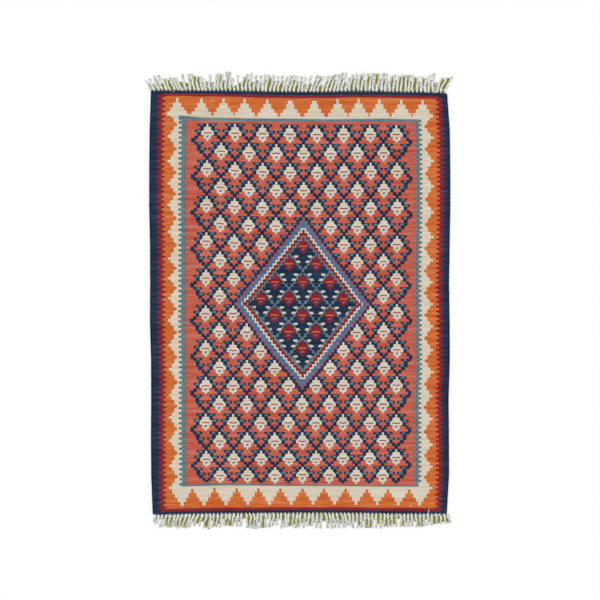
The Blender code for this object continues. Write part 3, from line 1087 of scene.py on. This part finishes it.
YARNS_IN_CORD = 9
YARN_RADIUS = 1.5
ROPE_RADIUS = 2.9
CORD_TURNS = 2.2
CORD_RINGS = 16
ROOT_SHARE = 0.12  # share of the length where the cord swells to its full thickness
ROOT_HIGH = 4.6  # how high it leaves the cloth
UNTWIST = 0.48  # share of the length where the cord begins to open
SPREAD = 5.3  # how far a yarn strays from its cord at the tip
STRAY_AIM = 1.2  # and how much more or less by chance
KINK = (0.6, 2.6)  # how far the whole cord bends to the side
CURL = (0.5, 1.7)  # how far each open yarn does
YARN_LENGTH = (0.94, 1.01)  # share of the way to the tip
TIP_HIGH = 2.6  # how high the highest yarn lies at the tip
draw = random.Random(7)


def cord_yarns(root, tip, sway):
    """Lines and radii of the yarns of one cord."""
    lines = []
    turn = draw.uniform(0, 2 * math.pi)
    kink, phase = draw.uniform(*KINK), draw.uniform(0, 2 * math.pi)
    for k in range(YARNS_IN_CORD):
        angle = turn + 2 * math.pi * k / YARNS_IN_CORD
        aim = SPREAD * (2 * ((k * 4) % YARNS_IN_CORD + 0.5) / YARNS_IN_CORD - 1)
        aim += draw.uniform(-STRAY_AIM, STRAY_AIM)
        length = draw.uniform(*YARN_LENGTH)
        wave, bend = draw.uniform(0, 2 * math.pi), draw.uniform(*CURL)
        rest = draw.uniform(YARN_RADIUS, TIP_HIGH)
        line, radii = [], []
        for i in range(CORD_RINGS + 1):
            t = i / CORD_RINGS * length
            x, y = cord_line(root, tip, sway, t)
            x += kink * (math.sin(phase + 9 * t) - math.sin(phase)) * (1 - 0.5 * t)
            opened = min(max(0.0, (t - UNTWIST) / (1 - UNTWIST)) ** 1.15, 1.0)
            spin = angle + 2 * math.pi * CORD_TURNS * t * (1 - 0.4 * opened)
            start = min(t / ROOT_SHARE, 1.0)
            x += math.cos(spin) * ROPE_RADIUS * start * (1 - opened) + aim * opened
            x += math.sin(wave + t * 10) * bend * opened
            high = ROOT_HIGH * (1 - start) + (YARN_RADIUS + ROPE_RADIUS * 0.6) * start
            z = high + math.sin(spin) * ROPE_RADIUS * 0.5 * start
            z = z * (1 - opened) + rest * opened
            line.append((x, y, max(z, YARN_RADIUS * 0.9)))
            radii.append(YARN_RADIUS * (0.4 + 0.6 * start) * (1 - 0.2 * opened))
        lines.append((line, radii))
    return lines


print("yarns in a cord:", YARNS_IN_CORD)

# %% [markdown]
# The cords are cotton, spun but not dyed: white, matt and a little hairy. Grey gathers in the
# grooves of the ply, which comes from the shape itself, and the tips are a little soiled.
#
# Short loose ends lie between the cords: flat grey strips of cotton that paint the shade between
# the cords, an olive yarn, and dark olive strips that paint the shade at the edge of the cloth.
# All are matt, and their hairs are drawn a few millimetres long, because real ones would be too
# fine to see.

# %% Cotton and loose wool
HAIR = (210.0, 120.0, 200.0)  # to a metre: streaks 5 mm across a cord and 8 mm along it
SOILED = (0.905, 0.94)  # m from the middle, where the tips begin to be soiled, where they are
SOIL = "#E5E3DA"
FUZZ = {"Strength": 0.4, "Distance": 0.0005}

cotton, tree, shader = new_material("undyed cotton, plied")
place = add(tree, "ShaderNodeTexCoord").outputs["Object"]
along = add(tree, "ShaderNodeMapping", Vector=place, Scale=HAIR)
hair = add(tree, "ShaderNodeTexNoise", Vector=along.outputs["Vector"], Scale=1.0, Detail=3.0)
shade = add(tree, "ShaderNodeValToRGB", Fac=hair.outputs["Fac"])
set_ramp(shade, ((0.36, "#BFC0B8"), (0.6, "#F8FBFB")))
fuzz = add(tree, "ShaderNodeBump", Height=hair.outputs["Fac"], **FUZZ)
axes = add(tree, "ShaderNodeSeparateXYZ", Vector=place)
outward_part = add(tree, "ShaderNodeMath", {"operation": "ABSOLUTE"}, i0=axes.outputs["Y"])
soiled = add(tree, "ShaderNodeMapRange", Value=outward_part.outputs["Value"],
             From_Min=SOILED[0], From_Max=SOILED[1])
worn_tip = add(tree, "ShaderNodeMix", {"data_type": "RGBA", "blend_type": "MULTIPLY"},
               Factor=soiled.outputs["Result"], i6=shade.outputs["Color"], i7=linear(SOIL))
fill(tree, shader, Base_Color=worn_tip.outputs[2], Normal=fuzz.outputs["Normal"],
     Roughness=0.9, Specular_IOR_Level=0.25, Sheen_Weight=0.1)


def loose_yarn(name, hairs, dark, pale, fuzzy=False):
    """Matt yarn, by its hairs to a metre and two shades, each a place in the noise and a hex."""
    made, tree, shader = new_material(name)
    place = add(tree, "ShaderNodeTexCoord").outputs["Object"]
    hair = add(tree, "ShaderNodeTexNoise", Vector=place, Scale=hairs, Detail=3.0)
    shade = add(tree, "ShaderNodeValToRGB", Fac=hair.outputs["Fac"])
    set_ramp(shade, (dark, pale))
    fill(tree, shader, Base_Color=shade.outputs["Color"], Roughness=0.95)
    if fuzzy:
        fuzz = add(tree, "ShaderNodeBump", Height=hair.outputs["Fac"], **FUZZ)
        fill(tree, shader, Normal=fuzz.outputs["Normal"])
    return made


FRINGE_YARNS = (
    cotton,
    loose_yarn("olive wool, loosely spun", 260.0, (0.3, "#6E6C22"), (0.7, "#97973A"), True),
    loose_yarn("grey cotton strip, painted shade between cords", 170.0, (0.36, "#726F52"), (0.58, "#CFCFBE")),
    # the last two are painted shade: grey strips between the cords and dark strips beside the cloth
    loose_yarn("dark olive strip, painted root shade", 300.0, (0.3, "#4A4428"), (0.7, "#7E7848")),
)
PLIED, OLIVE, SHADE_STRIP, DARK_ROOT_SHADE = range(4)  # their places in that list
print("yarns of the fringe:", [made.name for made in FRINGE_YARNS])

# %% [markdown]
# Three kinds of end lie in the gaps, one over another. Flat grey cotton, painted shade between the
# cords, lies lowest. It fills two thirds of a gap inside a lock, and often less between two locks.
# Most gaps have a dark end of painted shade beside the cloth as well, and most have an olive one,
# which starts there or further out.

# %% Both fringes
GREY_END = (0.04, 0.7)  # start and end as shares of the cords' length
GREY_SHORT = (0.4, 0.72)  # where it ends between two locks
ROOT_SHADE = 0.75  # share of the gaps with a dark end of painted shade beside the cloth
ROOT_END = (0.02, (0.09, 0.17))  # its start, and where it ends
OLIVE_ENDS = (  # share of the gaps, start and end as shares of the cords' length
    (0.22, 0.04, 0.84), (0.18, 0.04, 0.50), (0.30, 0.26, 0.92), (0.12, 0.48, 0.96),
    (0.12, 0.04, 0.28))
OLIVE_LENGTH = (0.85, 1.1)
OLIVE_FULL = (0.7, 1.6)  # width, as a share of the gap
OLIVE_SOONER = 0.06  # how much sooner than the grey one it stops, between two locks
SHORTEST = 0.1  # olive ends shorter than this are left out
OVER_FLOOR = {SHADE_STRIP: 0.2, OLIVE: 1.0, DARK_ROOT_SHADE: 1.7}  # mm
BLADE = (  # section of a flat end: share of its width, mm up
    (-0.5, 0.0), (0.5, 0.0), (0.5, 0.5), (0.0, 0.8), (-0.5, 0.5))
POINTED = 0.45  # width of its tip, as a share
THINNEST = 2.0  # mm, the narrowest flat end
LOOSE_END = (  # one yarn of the near fringe that lies back on the cloth: x, y, z
    (540.0, -896.0, 3.2), (540.2, -891.0, 5.2), (540.6, -885.0, 5.7), (541.6, -879.0, 5.6),
    (542.8, -872.5, 5.5))
LOOSE_RADIUS = 1.3


def end_at(x, column):
    """The y of the cloth's far (1) or near (2) end at x."""
    return float(smooth(ENDS, np.array([float(x)]), column)[0])


def olive_part(more):
    """Where an olive end starts and stops between two cords, or nothing for a gap without one."""
    lot = draw.random() / more
    for share, start, stop in OLIVE_ENDS:
        if lot < share:
            return start, stop * draw.uniform(*OLIVE_LENGTH)
        lot -= share
    return None


def ends_in_gap(joined, more):
    """(start, stop, yarn) of the loose ends between two cords. Joined: both in one lock."""
    grey_stop = GREY_END[1] if joined else draw.uniform(*GREY_SHORT)
    # the grey strip is painted shade between two cords
    ends = [(GREY_END[0], grey_stop, SHADE_STRIP)]
    # a dark strip of painted shade beside the cloth
    if draw.random() < ROOT_SHADE:
        ends.append((ROOT_END[0], draw.uniform(*ROOT_END[1]), DARK_ROOT_SHADE))
    olive_end = olive_part(more)
    if olive_end:
        start, stop = olive_end
        if not joined:
            stop = min(stop, grey_stop - OLIVE_SOONER)
        if stop - start > SHORTEST:
            ends.append((start, stop, OLIVE))
    return ends


def flat_yarn(line, widths, floor_gap):
    """Points and faces of a flat yarn end on the floor."""
    points = []
    for (x, y), wide in zip(line, widths):
        points += [(x + wide * share, y, floor_gap + up) for share, up in BLADE]
    return points, skin(len(line), len(BLADE))


def gather(mesh_parts, part, yarn):
    """Add the points and faces of one part to a fringe, in one yarn."""
    points, faces, yarns = mesh_parts
    start = len(points)
    points += part[0]
    faces += [tuple(start + k for k in face) for face in part[1]]
    yarns += [yarn] * len(part[1])


for piece, solid, column, outward, locks, roots, inside, sway, more in FRINGES:
    tips = lock_tips(locks)
    pitch = (roots[1] - roots[0]) / (len(tips) - 1)
    points, faces, yarns = mesh_parts = [], [], []
    root_places = []
    for i, tip in enumerate(tips):
        root_x = roots[0] + pitch * i
        root_places.append((root_x, end_at(root_x, column) - outward * inside))
        for line, radii in cord_yarns(root_places[-1], tip, sway):
            gather(mesh_parts, tube(line, radii, 5), PLIED)
    for i in range(len(tips) - 1):
        for start, stop, yarn in ends_in_gap(tips[i][2] == tips[i + 1][2], more):
            line, widths = [], []
            fullness = draw.uniform(*OLIVE_FULL) if yarn == OLIVE else 1.0
            for share in (0.0, 0.15, 0.5, 0.85, 1.0):
                t = start + (stop - start) * share
                a = cord_line(root_places[i], tips[i], sway, t)
                b = cord_line(root_places[i + 1], tips[i + 1], sway, t)
                line.append(((a[0] + b[0]) / 2, (a[1] + b[1]) / 2))
                pointed = POINTED if share == 1.0 or (share == 0.0 and start > 0.1) else 1.0
                widths.append(max((b[0] - a[0] - 1.0) * pointed * fullness, THINNEST))
            gather(mesh_parts, flat_yarn(line, widths, OVER_FLOOR[yarn]), yarn)
    if piece == "fringe_near":
        gather(mesh_parts, tube(LOOSE_END, [LOOSE_RADIUS] * len(LOOSE_END), 6), PLIED)

    mesh = bpy.data.meshes.new(piece)
    mesh.from_pydata([[v * MM for v in point] for point in points], [], faces)
    mesh.polygons.foreach_set("material_index", yarns)
    for made in FRINGE_YARNS:
        mesh.materials.append(made)
    turned = bmesh.new()
    turned.from_mesh(mesh)
    bmesh.ops.recalc_face_normals(turned, faces=turned.faces)
    turned.to_mesh(mesh)
    turned.free()
    fringe = new_object(piece, mesh)
    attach(fringe, "root")
    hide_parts(solid)
    print(piece, len(tips), "cords,", len(faces), "faces")
